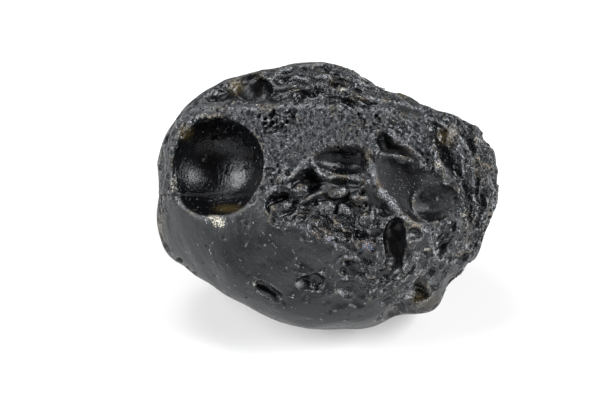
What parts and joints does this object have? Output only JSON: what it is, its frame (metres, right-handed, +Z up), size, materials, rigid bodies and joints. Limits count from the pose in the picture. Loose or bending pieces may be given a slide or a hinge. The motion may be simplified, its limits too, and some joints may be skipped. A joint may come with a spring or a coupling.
{
  "type": "tektite",
  "caption": "Blocky lump of black natural glass with a deep round bowl, etched gouges and a worn flat spot that it rests on.",
  "frame": {"origin": "centre of the bounding box at the surface that the stone rests on", "axes": "+X along the longest side, towards the rough end; +Z up, out of the rest surface; -Y towards the side that shows the bowls"},
  "size_m": [0.0618, 0.0446, 0.0459],
  "materials": {
    "tektite_glass": "black natural glass with an etched satin skin, glossy inside the bowls and matt on the worn edges",
    "clay_residue": "dry pale clay caught in the pits, matt"
  },
  "bodies": {
    "root": {"tektite": "tektite_glass"}
  },
  "joints": []
}
